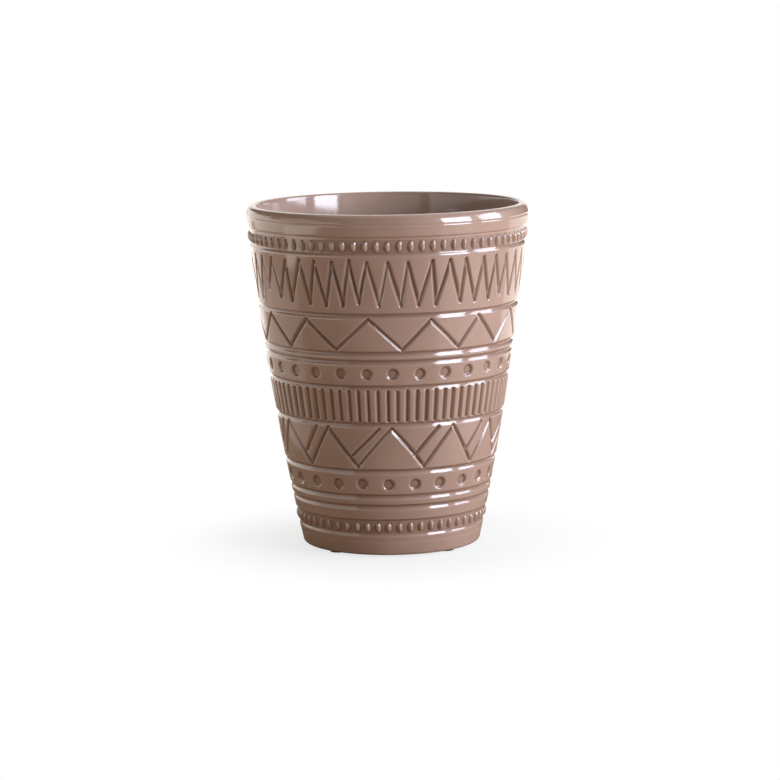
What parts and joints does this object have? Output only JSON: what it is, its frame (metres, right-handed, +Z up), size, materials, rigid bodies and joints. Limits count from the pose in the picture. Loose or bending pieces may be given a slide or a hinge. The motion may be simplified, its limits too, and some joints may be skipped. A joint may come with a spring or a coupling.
{
  "type": "flower pot",
  "caption": "Tapered round glazed ceramic flower pot with banded carved relief, open at the top, standing on small felt pads.",
  "frame": {"origin": "centre of the foot on the surface that the pot stands on", "axes": "+Z up along the pot's axis, -Y towards the viewer of the picture, +X to the viewer's right"},
  "size_m": [0.14, 0.14, 0.17],
  "materials": {
    "glaze": "gloss taupe-brown glaze",
    "felt": "matt felt"
  },
  "bodies": {
    "root": {"pot": "glaze", "felt_pad_1": "felt", "felt_pad_2": "felt", "felt_pad_3": "felt", "felt_pad_4": "felt"}
  },
  "joints": []
}
